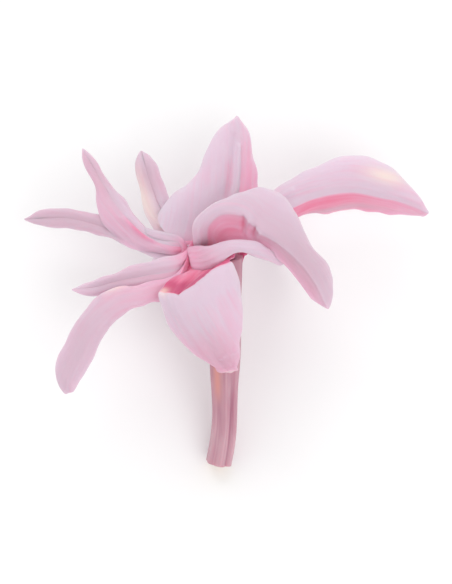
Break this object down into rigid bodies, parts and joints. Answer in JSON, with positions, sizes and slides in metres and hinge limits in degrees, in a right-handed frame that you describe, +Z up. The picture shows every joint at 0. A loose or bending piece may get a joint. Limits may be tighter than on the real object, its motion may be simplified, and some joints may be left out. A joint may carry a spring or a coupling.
{
  "type": "preserved tuberose flower",
  "caption": "A single preserved tuberose blossom in pale pink, with spreading, drooping petals round an open throat and a short length of its slender tube. It lies on its back.",
  "frame": {"origin": "middle of the underside of the laid flower's box, on the surface that it lies on", "axes": "+Z up from the surface. +X to the flower's right, along its widest spread of petals. +Y along the surface, from the cut end of the tube towards the topmost petal. The flower's own height leans 15 degrees up from +Y, and its front looks up and a little to -Y."},
  "size_m": [0.0524, 0.0444, 0.0226],
  "materials": {
    "petal": "soft waxy satin",
    "tube": "soft waxy satin",
    "pistil": "matt"
  },
  "bodies": {
    "root": {"flower_tube": "tube", "pistil": "pistil", "petal_front_apron": "petal", "petal_left_drooping": "petal", "petal_left_level": "petal", "petal_under_left": "petal", "petal_under_right": "petal", "petal_right_arching": "petal", "petal_left_low": "petal", "petal_left_raised": "petal", "petal_back_left": "petal", "petal_top": "petal", "petal_right_hooded": "petal", "petal_front_arc": "petal"}
  },
  "joints": []
}
